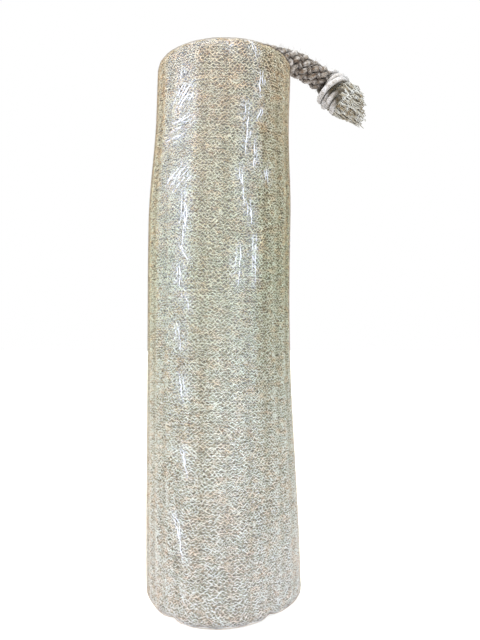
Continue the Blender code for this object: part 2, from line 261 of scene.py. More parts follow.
# Shades of the fibre: dusty specks over the threads, and tones from foot to top, with painted shade in a
# thin dark band at the foot's rim
SPECKS = ((0.3, "#9E7646"), (0.38, "#BCAE96"), (0.47, "#EFEFEA"), (0.62, "#FFFFFF"))
FOOT_SHADE_AND_HEIGHT_TONES = ((0.0, "#A39EAD"), (0.018, "#EAEFFF"), (0.3, "#EFF6FE"), (0.6, "#DFE7DC"), (1.0, "#EDE5DA"))


def fade(value):
    """Smooth step from 0 to 1."""
    value = min(max(value, 0.0), 1.0)
    return value * value * (3 - 2 * value)


def outer_radius(angle, height):
    """Radius of the wrapped sponge, which is three-lobed and widest at its foot."""
    flare = FOOT_FLARE * fade(1 - height / FOOT_HEIGHT)
    taper = NECK_TAPER * fade((height - NECK_START) / NECK_LENGTH)
    lobe = LOBE_DEPTH_TOP + (LOBE_DEPTH_FOOT - LOBE_DEPTH_TOP) * fade(1 - height / LOBE_REACH)
    return WAIST_RADIUS + flare - taper + lobe * math.cos(LOBES * (angle - LOBE_ANGLE))


def place(radius, angle, height):
    """World point of a point given round the stem's own axis."""
    bow = BOW * math.sin(math.pi * max(height / BOW_LENGTH, 0.0) ** BOW_SKEW)
    x = bow + radius * math.cos(angle)
    slant = TOP_SLANT * fade((height - NECK_START) / (HEIGHT - NECK_START))
    turn = (angle - ROPE_HEADING + math.pi) % math.tau - math.pi
    saddle = SADDLE_DEPTH * math.exp(-(turn / SADDLE_WIDTH) ** 2) * fade(radius / WAIST_RADIUS)
    saddle *= fade((height - HEIGHT + SADDLE_HEIGHT) / SADDLE_HEIGHT)
    return Vector((STEM_X + x, STEM_Y + radius * math.sin(angle), height + slant * x - saddle))


def rim_dent(angle):
    """How far the foot's rim is drawn in at an angle, from 0 to 1."""
    turns = [(angle - FRONT - math.radians(dent) + math.pi) % math.tau - math.pi for dent in RIM_DENTS]
    return sum(math.exp(-(turn / DENT_WIDTH) ** 2) for turn in turns)


def rib_sink(angle):
    """How deep the valley between two ribs is at an angle."""
    return RIB_DEPTH * (0.5 + 0.5 * math.cos(RIBS * (angle - RIB_ANGLE)))


def skin_point(angle, travel, inset):
    """Point of a skin under the film's face. Travel is the height, and runs on over either rim."""
    from_top = travel > HEIGHT / 2
    rim = TOP_CORNER if from_top else FOOT_CORNER
    corner = rim - inset
    over = (travel - (HEIGHT - rim)) if from_top else (rim - travel)
    lean = min(max(over / rim, 0.0), math.pi / 2)
    flat = max(over - rim * math.pi / 2, 0.0)
    if over > 0:
        height = (HEIGHT - rim + corner * math.sin(lean)) if from_top else (rim - corner * math.sin(lean))
    else:
        height = travel
    dent = DENT_DEPTH * fade(1 - height / DENT_HEIGHT) * rim_dent(angle)
    radius = outer_radius(angle, height) - rim + corner * math.cos(lean) - flat - dent
    return place(radius, angle, height + DENT_RISE * dent)


def travelled(points):
    """Distance along a line at each of its points."""
    distances = [0.0]
    for start, stop in zip(points, points[1:]):
        distances.append(distances[-1] + (stop - start).length)
    return distances


def way_at(line, index):
    """Way a line runs at one of its points."""
    return (line[min(index + 1, len(line) - 1)] - line[max(index - 1, 0)]).normalized()


def smooth_route(points, spacing):
    """Even points along a smooth curve through the given ones."""
    ends = [points[0] * 2 - points[1]] + points + [points[-1] * 2 - points[-2]]
    fine = []
    steps = 24
    for before, start, stop, after in zip(ends, ends[1:], ends[2:], ends[3:]):
        for step in range(steps):
            t = step / steps
            fine.append(0.5 * (2 * start + (stop - before) * t
                               + (2 * before - 5 * start + 4 * stop - after) * t ** 2
                               + (3 * start - before - 3 * stop + after) * t ** 3))
    fine.append(points[-1])
    lengths = travelled(fine)
    count = round(lengths[-1] / spacing)
    even = []
    index = 0
    for step in range(count + 1):
        target = lengths[-1] * step / count
        while index < len(fine) - 2 and lengths[index + 1] < target:
            index += 1
        share = (target - lengths[index]) / (lengths[index + 1] - lengths[index])
        even.append(fine[index].lerp(fine[index + 1], share))
    return even


def route_point(along, height):
    """World point on the rope's upright plane."""
    return Vector((STEM_X + along * math.cos(ROPE_HEADING), STEM_Y + along * math.sin(ROPE_HEADING), height))


def colour(code):
    """Linear colour of an sRGB hex code."""
    levels = [int(code[index:index + 2], 16) / 255 for index in (1, 3, 5)]
    linear = [level / 12.92 if level <= 0.04045 else ((level + 0.055) / 1.055) ** 2.4 for level in levels]
    return (*linear, 1.0)


def scales(*counts):
    """Scale of a pattern each way, from how many times it repeats in a millimetre."""
    return [count / MM for count in counts]


def add_node(tree, kind, inputs=None, stops=(), **settings):
    """Adds a shader node with its settings, and fills its inputs with values or with links.

    A link comes from a socket or from a node's live output. Sockets that share a name go by number: a mix
    has its factor at 0 and its colours at 6 and 7. A ramp takes stops, pairs of a place and a colour.
    """
    node = tree.nodes.new("ShaderNode" + kind)
    for name, value in settings.items():
        setattr(node, name, value)
    for name, value in (inputs or {}).items():
        if isinstance(value, bpy.types.Node):
            value = next(output for output in value.outputs if output.enabled)
        if isinstance(value, bpy.types.NodeSocket):
            tree.links.new(value, node.inputs[name])
        else:
            node.inputs[name].default_value = value
    if stops:
        ramp = node.color_ramp
        while len(ramp.elements) < len(stops):
            ramp.elements.new(0.5)
        for element, (share, code) in zip(ramp.elements, stops):
            element.position = share
            element.color = colour(code)
    return node


def node_adder(owner):
    """Empties the node tree of a material or of the world, and gives the function that adds nodes to it."""
    owner.use_nodes = True
    owner.node_tree.nodes.clear()
    return partial(add_node, owner.node_tree)


def fibre_material(name, shades, patches, patch_share, roughness):
    """Dried plant fibre: matt straw threads whose shade strays from thread to thread and patch to patch."""
    material = bpy.data.materials.new(name)
    add = node_adder(material)
    spot = add("TexCoord").outputs["Object"]
    # Round and up, threads change shade every 4.2 and 0.8 mm, specks are 1.3 and 0.4 mm, patches 6 and 3 mm
    tones = []
    for counts, detail, rough, stops in (((0.24, 0.24, 1.3), 3.0, 0.6, shades),
                                         ((0.8, 0.8, 2.3), 1.0, 0.5, SPECKS),
                                         ((0.17, 0.17, 0.3), 4.0, 0.5, patches)):
        stretched = add("Mapping", {"Vector": spot, "Scale": scales(*counts)})
        cloud = add("TexNoise", {"Vector": stretched, "Scale": 1.0, "Detail": detail, "Roughness": rough})
        tones.append(add("ValToRGB", {"Fac": cloud}, stops))
    shade, specks, tint = tones
    # By height: painted shade in a thin dark band at the foot's rim, then paler and cooler low down, darker
    # higher up, warmer at the top
    level = add("SeparateXYZ", {0: spot}).outputs["Z"]
    rise = add("Math", {0: level, 1: HEIGHT}, operation="DIVIDE", use_clamp=True)
    foot_shade_and_height_tone = add("ValToRGB", {"Fac": rise}, FOOT_SHADE_AND_HEIGHT_TONES)
    # Painted shade: the valleys between the ribs are a little darker
    across = add("VectorMath", {0: spot, 1: (STEM_X + BOW / 2, STEM_Y, 0)}, operation="SUBTRACT")
    sides = add("SeparateXYZ", {0: across}).outputs
    bearing = add("Math", {0: sides["Y"], 1: sides["X"]}, operation="ARCTAN2")
    turn = add("Math", {0: bearing, 1: RIBS, 2: -RIBS * RIB_ANGLE}, operation="MULTIPLY_ADD")
    swing = add("Math", {0: turn}, operation="COSINE")
    valley = add("MapRange", {"Value": swing, "From Min": 0.3, "From Max": 1.0})
    for share, over in ((1.0, specks), (patch_share, tint), (1.0, foot_shade_and_height_tone), (valley, colour("#F0EDE6"))):
        shade = add("Mix", {0: share, 6: shade, 7: over}, data_type="RGBA", blend_type="MULTIPLY")
    # The real grain is about 0.05 mm and wouldn't show, so it is drawn at 0.4 mm
    grain = add("TexNoise", {"Vector": spot, "Scale": 2.6 / MM, "Detail": 2.0})
    bump = add("Bump", {"Height": grain, "Strength": 0.35, "Distance": 0.12 * MM})
    shader = add("BsdfPrincipled", {"Base Color": shade, "Roughness": roughness, "Normal": bump,
                                    "Specular IOR Level": 0.35})
    add("OutputMaterial", {"Surface": shader})
    return material


def cotton_material(name, shades, crevice_shade_code, roughness, grains_per_mm):
    """Soft cotton yarn: matt and fuzzy, with pale tops, painted dark shade in the crevices and 3 mm clouds
    of shade.
    """
    material = bpy.data.materials.new(name)
    add = node_adder(material)
    spot = add("TexCoord").outputs["Object"]
    cloud = add("TexNoise", {"Vector": spot, "Scale": 0.38 / MM, "Detail": 4.0, "Roughness": 0.6})
    top = add("ValToRGB", {"Fac": cloud}, shades)
    # Painted shade: yarn low in the rope, in its crevices or on its underside, takes the dark crevice colour
    lift = add("Attribute", attribute_name=LIFT).outputs["Fac"]
    stray = add("Math", {0: cloud, 1: 0.5, 2: -0.25}, operation="MULTIPLY_ADD")
    bare = add("Math", {0: lift, 1: stray}, operation="ADD", use_clamp=True)
    shade = add("Mix", {0: bare, 6: colour(crevice_shade_code), 7: top}, data_type="RGBA")
    # Cotton hairs are about 0.02 mm thick and wouldn't show, so a grain of about 0.5 mm stands in for them
    hairs = add("TexNoise", {"Vector": spot, "Scale": grains_per_mm / MM, "Detail": 3.0})
    bump = add("Bump", {"Height": hairs, "Strength": 0.6, "Distance": 0.25 * MM})
    shader = add("BsdfPrincipled", {"Base Color": shade, "Roughness": roughness, "Normal": bump,
                                    "Specular IOR Level": 0.2, "Sheen Weight": 0.25, "Sheen Roughness": 0.5})
    add("OutputMaterial", {"Surface": shader})
    return material


def film_material(name, haze, gloss_roughness, bump_depth):
    """Clear polyolefin shrink film: see-through, with sharp gloss broken up by the fibres under it."""
    material = bpy.data.materials.new(name)
    add = node_adder(material)
    spot = add("TexCoord").outputs["Object"]
    # The fibres show through as crinkles of about 1.5 mm, a mesh of the net
    stretched = add("Mapping", {"Vector": spot, "Scale": scales(0.62, 0.62, 0.7)})
    crinkle = add("TexNoise", {"Vector": stretched, "Scale": 1.0, "Detail": 2.0, "Roughness": 0.6})
    bump = add("Bump", {"Height": crinkle, "Strength": 1.0, "Distance": bump_depth})
    rim = add("Math", {0: add("LayerWeight", {"Blend": 0.5}).outputs["Facing"], 1: 4.0}, operation="POWER")
    # Painted shade: seen edge-on, the film is tinted warm grey, which darkens the outline
    tint = add("Mix", {0: rim, 6: (1, 1, 1, 1), 7: colour("#DCD4C8")}, data_type="RGBA")
    clear = add("BsdfTransparent", {"Color": tint})
    gloss = add("BsdfGlossy", {"Color": colour("#EEF2FF"), "Roughness": gloss_roughness, "Normal": bump})
    veil = add("BsdfDiffuse", {"Color": colour("#ECEFFC"), "Normal": bump})
    # Crumpled film is whitened in shreds of about 1.2 mm: partly real whitening and partly a painted sheen
    crumple_sheen = add("Attribute", attribute_name=CRUMPLE_SHEEN).outputs["Fac"]
    shred_place = add("Mapping", {"Vector": spot, "Scale": scales(0.9, 0.9, 0.72)})
    shreds = add("TexNoise", {"Vector": shred_place, "Scale": 1.0, "Detail": 2.0})
    torn = add("MapRange", {"Value": shreds, "From Min": 0.45, "From Max": 0.7, "To Max": 0.17})
    white = add("Math", {0: crumple_sheen, 1: torn, 2: haze}, operation="MULTIPLY_ADD", use_clamp=True)
    mirror = add("Math", {0: rim, 1: 0.05, 2: 0.024}, operation="MULTIPLY_ADD")
    body = add("MixShader", {0: white, 1: clear, 2: veil})
    both = add("MixShader", {0: mirror, 1: body, 2: gloss})
    add("OutputMaterial", {"Surface": both})
    return material


def table_material():
    """Matt white table, evenly white to the eye, that throws most light up just right of the sponge."""
    material = bpy.data.materials.new("matt white table")
    add = node_adder(material)
    across = add("SeparateXYZ", {0: add("TexCoord").outputs["Object"]}).outputs["X"]
    share = add("MapRange", {"Value": across, "From Min": -TABLE_REACH, "From Max": TABLE_REACH})
    bounce = add("ValToRGB", {"Fac": share}, TABLE_GLOW)
    glow = add("Math", {0: bounce, 1: TABLE_POWER}, operation="MULTIPLY")
    pale, grey = [add("BsdfPrincipled", {"Base Color": colour(code), "Roughness": 0.9,
                                         "Emission Color": (1, 1, 1, 1), "Emission Strength": strength})
                  for code, strength in (("#F6F6F6", 0.62), ("#EEEEEE", glow))]
    seen = add("LightPath").outputs["Is Camera Ray"]
    add("OutputMaterial", {"Surface": add("MixShader", {0: seen, 1: grey, 2: pale})})
    return material


def new_object(name, data):
    """Object linked into the scene."""
    item = bpy.data.objects.new(name, data)
    bpy.context.scene.collection.objects.link(item)
    return item


def add_piece(name, shape, material, replaced):
    """Makes a piece from a bmesh or a mesh, and says what it is in the frame."""
    if isinstance(shape, bmesh.types.BMesh):
        mesh = bpy.data.meshes.new(name)
        shape.to_mesh(mesh)
        shape.free()
    else:
        mesh = shape
        mesh.name = name
    mesh.materials.clear()
    mesh.materials.append(material)
    mesh.polygons.foreach_set("use_smooth", [True] * len(mesh.polygons))
    piece = new_object(name, mesh)
    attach(piece, "root")
    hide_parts(replaced)
    return piece


def round_threads(lines, radius, sides=4, closed=False):
    """Mesh of round threads along the lines. Each line is a list of points with a share of the radius."""
    profile = bpy.data.curves.new("profile", "CURVE")
    ring = profile.splines.new("POLY")
    ring.points.add(sides - 1)
    ring.use_cyclic_u = True
    for index, point in enumerate(ring.points):
        turn = -math.tau * index / sides
        point.co = (radius * math.cos(turn), radius * math.sin(turn), 0, 1)
    section = bpy.data.objects.new("profile", profile)
    curve = bpy.data.curves.new("threads", "CURVE")
    curve.dimensions = "3D"
    curve.bevel_mode = "OBJECT"
    curve.bevel_object = section
    curve.use_fill_caps = not closed
    for line in lines:
        spline = curve.splines.new("POLY")
        spline.points.add(len(line) - 1)
        spline.use_cyclic_u = closed
        spline.points.foreach_set("co", [number for point, share in line for number in (*point, 1.0)])
        spline.points.foreach_set("radius", [share for point, share in line])
    item = new_object("threads", curve)
    bpy.context.view_layer.update()
    mesh = bpy.data.meshes.new_from_object(item.evaluated_get(bpy.context.evaluated_depsgraph_get()))
    for used, data in ((item, curve), (section, profile)):
        bpy.data.objects.remove(used, do_unlink=True)
        bpy.data.curves.remove(data)
    if not closed:
        shape = bmesh.new()
        shape.from_mesh(mesh)
        bmesh.ops.remove_doubles(shape, verts=shape.verts, dist=0.0005 * MM)
        shape.to_mesh(mesh)
        shape.free()
    return mesh


def nearest_tree(points):
    """Search tree that finds the nearest of the points."""
    tree = KDTree(len(points))
    for index, point in enumerate(points):
        tree.insert(point, index)
    tree.balance()
    return tree


def note_lift(piece, line, low, high, under=0.0):
    """Notes on each vertex how far it stands from a line, from 0 at the low distance to 1 at the high one.

    The underside counts as lower by the given share, so that shade is painted on it.
    """
    tree = nearest_tree(line)
    lifts = piece.data.attributes.new(LIFT, "FLOAT", "POINT")
    for vertex, lift in zip(piece.data.vertices, lifts.data):
        # Painted shade: the underside is made to read as lower, so the cotton finishes paint it darker
        underside_shade = 1 + under * min(vertex.normal.z, 0.0)
        lift.value = fade((tree.find(vertex.co)[2] - low) / (high - low)) * underside_shade


def rolled_grid(around, along, point):
    """Grid rolled into a tube, each vertex put where point(column, row) says."""
    shape = bmesh.new()
    bmesh.ops.create_grid(shape, x_segments=around, y_segments=along, size=0.5)
    for vertex in shape.verts:
        column, row = round((vertex.co.x + 0.5) * around), round((vertex.co.y + 0.5) * along)
        vertex.co = point(column % around, row)
    bmesh.ops.remove_doubles(shape, verts=shape.verts, dist=0.001 * MM)
    bmesh.ops.recalc_face_normals(shape, faces=shape.faces)
    return shape


def ply_lines(path):
    """Lines of the plies that are laid round a path."""
    side = way_at(path, 0).orthogonal().normalized()
    lines = [[] for ply in range(PLIES)]
    travels = travelled(path)
    for index, point in enumerate(path):
        tangent = way_at(path, index)
        side = (side - tangent * side.dot(tangent)).normalized()
        other = tangent.cross(side)
        for ply, line in enumerate(lines):
            turn = math.tau * (travels[index] / PLY_LAY + ply / PLIES)
            line.append((point + PLY_REACH * (side * math.cos(turn) + other * math.sin(turn)), 1.0))
    return lines


def yarn_line(route, travels, way, strand, yarn):
    """One of the three yarns of a braid's strand, which winds one way and goes over and under the others."""
    side = Vector((-math.sin(ROPE_HEADING), math.cos(ROPE_HEADING), 0))
    line = []
    for index, point in enumerate(route):
        up = side.cross(way_at(route, index))
        turn = way * math.tau * travels[index] / BRAID_LAY + math.tau * strand / BRAID_STRANDS
        turn += yarn * YARN_SPACING / BRAID_REACH
        weave = way * math.cos(math.tau * BRAID_STRANDS * travels[index] / BRAID_LAY)
        reach = BRAID_REACH + BRAID_WEAVE * weave - YARN_SINK * abs(yarn) + BRAID_UNEVEN * way
        spot = point + reach * (side * math.cos(turn) + up * math.sin(turn))
        swell = noise.noise(spot / MM / 3.5 + Vector((way * 9, strand * 5, 0)))
        out = (spot - point).normalized()
        line.append((spot + 0.5 * swell * MM * out, 1 + 0.3 * swell + 0.1 * way))
    return line


def braid_lines(route):
    """Yarns of a tubular braid: flat strands of three that wind both ways, over and under each other."""
    travels = travelled(route)
    return [yarn_line(route, travels, way, strand, yarn)
            for way in (1, -1) for strand in range(BRAID_STRANDS) for yarn in (-1, 0, 1)]


def knot_path(centre, axis, radius, length, turns):
    """Middle line of the strand that binds a knot, tucked into its heart at both ends."""
    turned = axis.to_track_quat("Z", "Y").to_matrix()
    sunk_radius = radius - 1.1 * STRAND_RADIUS - TUCK_DEPTH
    steps = round(TURN_STEPS * turns)
    path = []
    for step in range(steps + 1):
        share = step / steps
        tuck = fade(min(share, 1 - share) / TUCK_SHARE)
        reach = sunk_radius + (radius - STRAND_RADIUS - sunk_radius) * tuck
        angle = KNOT_START - math.tau * turns * share
        rise = (share - 0.5) * (length - 2 * STRAND_MARGIN)
        path.append(centre + turned @ Vector((reach * math.cos(angle), reach * math.sin(angle), rise)))
    return path


def build_camera():
    """Camera at the photograph's viewing angle."""
    camera = new_object("camera", bpy.data.cameras.new("camera"))
    camera.location = CAMERA_PLACE
    camera.rotation_euler = (math.pi / 2, 0, 0)
    camera.data.sensor_width = SENSOR_WIDTH
    camera.data.lens = LENS
    camera.data.clip_start = NEAR_CLIP
    bpy.context.scene.camera = camera


def build_rope(materials):
    """Braid, its core, the knot outside, the stopper knot inside and the frayed end."""
    fine = smooth_route([route_point(along * MM, height * MM) for along, height in ROPE_ROUTE], ROPE_STEP)
    yarns = round_threads(braid_lines(fine), YARN_RADIUS, sides=6)
    core = round_threads([[(point, 1.0) for point in fine[::3]]], ROPE_CORE, sides=12)
    braid = bmesh.new()
    braid.from_mesh(yarns)
    braid.from_mesh(core)
    rope = add_piece("rope_braid", braid, materials["braid"], "rope")
    note_lift(rope, fine, *ROPE_LIFT, under=0.35)

    knot = build_knot("knot_turns", fine[-1] + KNOT_PLACE, KNOT_WAY.normalized(), KNOT_RADIUS, KNOT_LENGTH,
                      KNOT_TURNS, materials["knot"], "rope_knot")
    stopper_centre = fine[0] - Vector((0, 0, GAP + STOPPER_LENGTH / 2))
    stopper = build_knot("stopper_turns", stopper_centre, Vector((0, 0, 1)), STOPPER_RADIUS, STOPPER_LENGTH,
                         STOPPER_TURNS, materials["knot"], "rope_stopper")
    tassel = build_tassel(fine[-1] + TASSEL_PLACE, TASSEL_WAY.normalized(), materials["fray"])
    hairs = round_threads(fuzz_lines(fine), FUZZ_RADIUS, sides=3)
    fuzz = add_piece("cotton_fuzz", hairs, materials["braid"], "rope")
    note_lift(fuzz, fine, *ROPE_LIFT)
    return fine


def build_knot(name, centre, axis, radius, length, turns, material, node):
    """Knot of a strand of smooth plies wound round a heart of the same cotton."""
    path = knot_path(centre, axis, radius, length, turns)
    shape = bmesh.new()
    shape.from_mesh(round_threads(ply_lines(path), PLY_RADIUS, sides=8))
    heart_line = [(centre + axis * (length * (share - 0.5)), size) for share, size in HEART_SIZES]
    shape.from_mesh(round_threads([heart_line], radius - 1.6 * STRAND_RADIUS, sides=20))
    knot = add_piece(name, shape, material, node)
    middle = [centre + axis * (length * (share / 8 - 0.5)) for share in range(9)]
    note_lift(knot, middle, radius - KNOT_LIFT[0], radius - KNOT_LIFT[1], under=0.5)
    return knot


def tassel_radius(share):
    """Radius of the frayed end, which bulges out of the knot like a ball and hardly narrows again."""
    bulge = math.sin(math.pi * min(share * 1.25, 0.55 + 0.12 * share))
    return TASSEL_ROOT + (TASSEL_MIDDLE - TASSEL_ROOT) * bulge


def build_tassel(start, axis, material):
    """Frayed end: yarns of three threads that bulge from the knot, curl, come apart and end ragged."""
    rng = random.Random(61)
    turned = axis.to_track_quat("Z", "Y").to_matrix()
    lines = []
    for reach, yarns, first in TASSEL_RINGS:
        for yarn in range(yarns):
            bearing = math.tau * (yarn + rng.uniform(-0.3, 0.3)) / yarns
            swirl = rng.uniform(0.3, 0.85)
            length = TASSEL_LENGTH * rng.uniform(0.9, 1.04)
            bulge = rng.uniform(0.96, 1.03)
            loose = rng.uniform(0.4, 1.6)
            for thread in range(YARN_THREADS):
                line = []
                for step in range(YARN_STEPS + 1):
                    share = first + (1 - first) * step / YARN_STEPS
                    free = fade(share * 4 - 3)
                    heading = bearing + swirl * share + 0.16 * math.sin(7 * share + 2.3 * yarn)
                    twist = math.tau * (thread / YARN_THREADS + 2.4 * share) + yarn
                    out = Vector((math.cos(heading), math.sin(heading), 0))
                    spread = (0.42 + 0.55 * loose * free) * MM
                    aside = Vector((math.cos(twist), math.sin(twist), 0))
                    across = out * tassel_radius(share) * reach * bulge + aside * spread
                    spot = Vector((yarn * 3.1, thread * 2.3 + reach * 9, share * 7))
                    wander = noise.noise_vector(spot) * (0.9 + 0.5 * free) * MM
                    along = length * share * (1 + 0.05 * free * thread)
                    offset = turned @ Vector((across.x, across.y, 0))
                    point = start + offset + axis * (along - TASSEL_SHEAR * share * offset.z) + wander
                    line.append((point, 1.0 - 0.45 * free))
                lines.append(line)
    shape = bmesh.new()
    shape.from_mesh(round_threads(lines, YARN_THREAD))
    # A core fills the tassel for 0.8 of its length
    core = [(start + axis * (TASSEL_LENGTH * 0.8 * step / 6),
             (tassel_radius(step / 6) - TASSEL_CORE_SINK) / TASSEL_ROOT) for step in range(7)]
    shape.from_mesh(round_threads([core], TASSEL_ROOT, sides=16))
    tassel = add_piece("tassel_fibres", shape, material, "rope_tassel")
    middle = [start + axis * (TASSEL_LENGTH * step / 8) for step in range(8)]
    note_lift(tassel, middle, *TASSEL_LIFT, under=0.4)
    return tassel


def fuzz_lines(route):
    """Stray hairs that stand off the outside length of the rope."""
    rng = random.Random(41)
    lines = []
    mouth = Vector(ROPE_EXIT)
    first = next(index for index, point in enumerate(route) if (point - mouth).length < FUZZ_START)
    for hair in range(FUZZ):
        index = rng.randrange(first, len(route) - 1)
        tangent = way_at(route, index)
        side = tangent.orthogonal().normalized()
        turn = rng.uniform(0, math.tau)
        out = side * math.cos(turn) + tangent.cross(side) * math.sin(turn)
        lean = out * rng.uniform(0.3, 1.0) + tangent * rng.uniform(-1, 1)
        heading = (lean + Vector((0, 0, 0.2))).normalized()
        bend = Vector((rng.uniform(-1, 1), rng.uniform(-1, 1), rng.uniform(-1, 1))) * 0.8 * MM
        length = rng.uniform(1.2, 3.0) * MM
        start = route[index] + out * (ROPE_RADIUS - FUZZ_ROOT)
        lines.append([(start + heading * length * step / 3 + bend * (step / 3) ** 2, 1 - 0.2 * step)
                      for step in range(4)])
    return lines


def net_lines(layer, low, high, seed):
    """Wavy fibres that run round the sponge, each out of step with the next, so that small cells open.

    Noise is read in mm on a ring of 38 mm, so that it closes, and is divided by the length of its waves.
    """
    lines = []
    steps = round(math.tau * WAIST_RADIUS / layer.step)
    first, last = round(low / layer.pitch), round(high / layer.pitch)
    for row in range(first, last):
        level = layer.pitch * (row + 0.5)
        line = []
        for step in range(steps):
            angle = math.tau * step / steps
            spot = Vector((38 * math.cos(angle), 38 * math.sin(angle), level / MM))
            own = Vector((0, 0, row * 7.1 + seed))
            drift = NET_DRIFT * noise.noise(spot / 21)
            stray = NET_STRAY * noise.noise(spot / 3.1 + own)
            phase = 2.4 * row + 6.0 * noise.noise(spot / 5.5 + own * 0.4)
            height = layer.height * (1 + 0.9 * noise.noise(spot / 4 + own))
            depth = NET_DIP * (1 + noise.noise(spot / 2.6 + own * 1.7))
            thick = 1.0 + 0.6 * noise.noise(spot / 4 - own)
            turn = layer.waves * angle + phase
            travel = level + drift + stray + height * math.sin(turn)
            bearing = angle + 0.45 * math.sin(2 * turn) / layer.waves
            inset = layer.inset + layer.fibre + rib_sink(bearing) + depth
            line.append((skin_point(bearing, travel, inset), thick))
        lines.append(line)
    return lines


def link_lines():
    """Short slanting fibres that tie neighbouring rows of the net together."""
    rng = random.Random(17)
    lines = []
    for link in range(LINKS):
        angle = rng.uniform(0, math.tau)
        level = rng.uniform(-LINK_OVERRUN, HEIGHT + LINK_OVERRUN)
        lean = rng.choice((-1, 1)) * rng.uniform(0.02, 0.075)
        rise = rng.choice(LINK_RISES)
        inset = OUTER_LAYER.inset + OUTER_LAYER.fibre + rib_sink(angle) + NET_DIP
        line = []
        for step in range(3):
            share = step / 2
            sway = 0.012 * math.sin(math.pi * share) * rng.uniform(-1, 1)
            line.append((skin_point(angle + lean * share + sway, level + rise * share, inset), 0.95))
        lines.append(line)
    return lines


def upright_lines():
    """Second layer: coarser fibres that run the sponge's length under the net."""
    lines = []
    steps = 80
    for fibre in range(UPRIGHTS):
        own = Vector((fibre * 5.3, 0, 0))
        line = []
        for step in range(steps + 1):
            travel = -UPRIGHT_OVERRUN + (HEIGHT + 2 * UPRIGHT_OVERRUN) * step / steps
            stray = 0.9 * noise.noise(Vector((0, 0, travel / MM / 9)) + own)
            angle = math.tau * (fibre + stray) / UPRIGHTS
            depth = UPRIGHT_DEPTH + UPRIGHT_DIP * noise.noise(Vector((0, 3, travel / MM / 5)) + own)
            line.append((skin_point(angle, travel, depth + rib_sink(angle)), 1.0))
        lines.append(line)
    return lines


def over_hollow(radius, angle, spot, route):
    """Whether a place on a cut end lies over a seed channel, just beside one or over the rope."""
    for channel in range(CHANNELS):
        away = angle - CHANNEL_ANGLE - math.tau * channel / CHANNELS
        out = (radius * math.cos(away) - CHANNEL_ORBIT) / CHANNEL_RADIAL
        aside = radius * math.sin(away) / CHANNEL_TANGENT
        if out ** 2 + aside ** 2 < 1.1:
            return True
    return any((spot - point).length < BORE_RADIUS for point in route)


def mat_lines(top, reach, route, seed):
    """Short curved fibres strewn flat over a cut end, clear of the channels and of the rope."""
    rng = random.Random(seed)
    lines = []
    while len(lines) < MAT_FIBRES:
        radius, angle = reach * math.sqrt(rng.random()), rng.uniform(0, math.tau)
        x, y = radius * math.cos(angle), radius * math.sin(angle)
        heading, curl = rng.uniform(0, math.tau), rng.uniform(-0.35, 0.35)
        depth = rng.uniform(0.1 * MM, MAT_DEPTH)
        line = []
        for step in range(5):
            radius, angle = math.hypot(x, y), math.atan2(y, x)
            spot = place(radius, angle, HEIGHT - depth if top else depth)
            if radius > reach or over_hollow(radius, angle, spot, route):
                break
            line.append((spot, 1.0))
            x += MAT_STEP * math.cos(heading)
            y += MAT_STEP * math.sin(heading)
            heading += curl + rng.uniform(-0.3, 0.3)
        if len(line) > 2:
            lines.append(line)
    return lines


def channel_lines():
    """Fibres that ring the walls of the seed channels near both ends."""
    lines = []
    for channel in range(CHANNELS):
        bearing = CHANNEL_ANGLE + math.tau * channel / CHANNELS
        out = Vector((math.cos(bearing), math.sin(bearing)))
        aside = Vector((-math.sin(bearing), math.cos(bearing)))
        for ring in range(CHANNEL_RINGS):
            depth = (1.0 + 1.9 * (ring // 2)) * MM
            line = []
            for step in range(CHANNEL_STEPS):
                turn = math.tau * step / CHANNEL_STEPS
                own = Vector((3 * math.cos(turn), 3 * math.sin(turn), ring * 3.3 + channel))
                uneven = 1 + 0.06 * noise.noise(own)
                wave = 0.6 * MM * math.sin(5 * turn + ring * 1.7)
                flat = out * (CHANNEL_ORBIT + CHANNEL_RADIAL * uneven * math.cos(turn))
                flat += aside * CHANNEL_TANGENT * uneven * math.sin(turn)
                height = HEIGHT - depth + wave if ring % 2 else depth + wave
                line.append((place(flat.length, math.atan2(flat.y, flat.x), height), 1.0))
            lines.append(line)
    return lines


def build_heart(material):
    """Body behind the net: the part's own solid, its outside drawn in to stand clear of the fibres."""
    shape = bmesh.new()
    shape.from_mesh(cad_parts["loofah"].data)
    bmesh.ops.remove_doubles(shape, verts=shape.verts, dist=0.001 * MM)
    for vertex in shape.verts:
        x, y, z = vertex.co
        height = min(max(z, 0.0), HEIGHT)
        x -= STEM_X + BOW * math.sin(math.pi * (height / BOW_LENGTH) ** BOW_SKEW)
        y -= STEM_Y
        radius, angle = math.hypot(x, y), math.atan2(y, x)
        wall = outer_radius(angle, height) - HEART_INSET - rib_sink(angle)
        if radius > wall - HEART_SKIN:
            shrink = wall + HEART_ROUGHNESS * noise.noise(vertex.co / MM * 0.3) - radius
            vertex.co += Vector((math.cos(angle), math.sin(angle), 0)) * min(shrink, 0.0)
        if z < HEART_INSET:
            vertex.co.z += HEART_END_INSET
        elif z > place(min(radius, 30 * MM), angle, HEIGHT).z - HEART_END_INSET:
            vertex.co.z -= HEART_END_INSET
    add_piece("loofah_heart", shape, material, "loofah")


